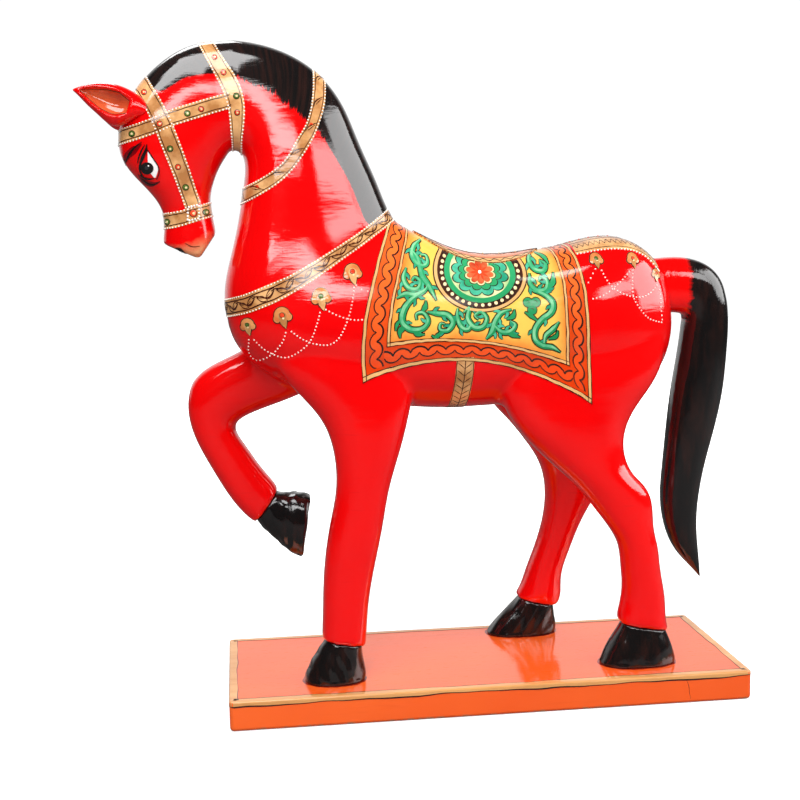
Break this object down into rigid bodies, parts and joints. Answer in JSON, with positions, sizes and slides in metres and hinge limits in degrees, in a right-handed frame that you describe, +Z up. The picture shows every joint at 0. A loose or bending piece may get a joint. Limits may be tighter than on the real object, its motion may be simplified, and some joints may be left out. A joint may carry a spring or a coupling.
{
  "type": "painted wooden horse",
  "caption": "Carved and lacquered wooden horse with an arched neck and one raised foreleg, standing on a rectangular plinth; a tabletop ornament.",
  "frame": {"origin": "centre of the plinth's underside", "axes": "+Z up; the horse faces -X; its left side faces -Y"},
  "size_m": [0.375, 0.11, 0.3783],
  "materials": {
    "horse_paint": "gloss lacquer over red paint, with painted harness",
    "black_paint": "gloss lacquer over black paint",
    "plinth_paint": "gloss lacquer over orange paint, with a gold line",
    "dowel_wood": "bare turned wood",
    "screw_steel": "plain zinc"
  },
  "bodies": {
    "root": {"plinth": "plinth_paint", "trunk": "horse_paint", "neck": "horse_paint", "head": "horse_paint", "left_ear": "horse_paint", "right_ear": "horse_paint", "tail": "black_paint", "left_foreleg": "horse_paint", "left_hind_leg": "horse_paint", "right_hind_leg": "horse_paint", "right_foreleg_upper": "horse_paint", "right_foreleg_lower": "horse_paint", "left_fore_hoof": "black_paint", "left_hind_hoof": "black_paint", "right_hind_hoof": "black_paint", "right_fore_hoof": "black_paint", "neck_dowels": "dowel_wood", "head_dowels": "dowel_wood", "left_foreleg_dowels": "dowel_wood", "left_hind_leg_dowels": "dowel_wood", "right_hind_leg_dowels": "dowel_wood", "right_foreleg_dowels": "dowel_wood", "right_knee_dowel": "dowel_wood", "right_fore_hoof_dowel": "dowel_wood", "tail_dowel": "dowel_wood", "ear_dowels": "dowel_wood", "plinth_screws": "screw_steel"}
  },
  "joints": []
}
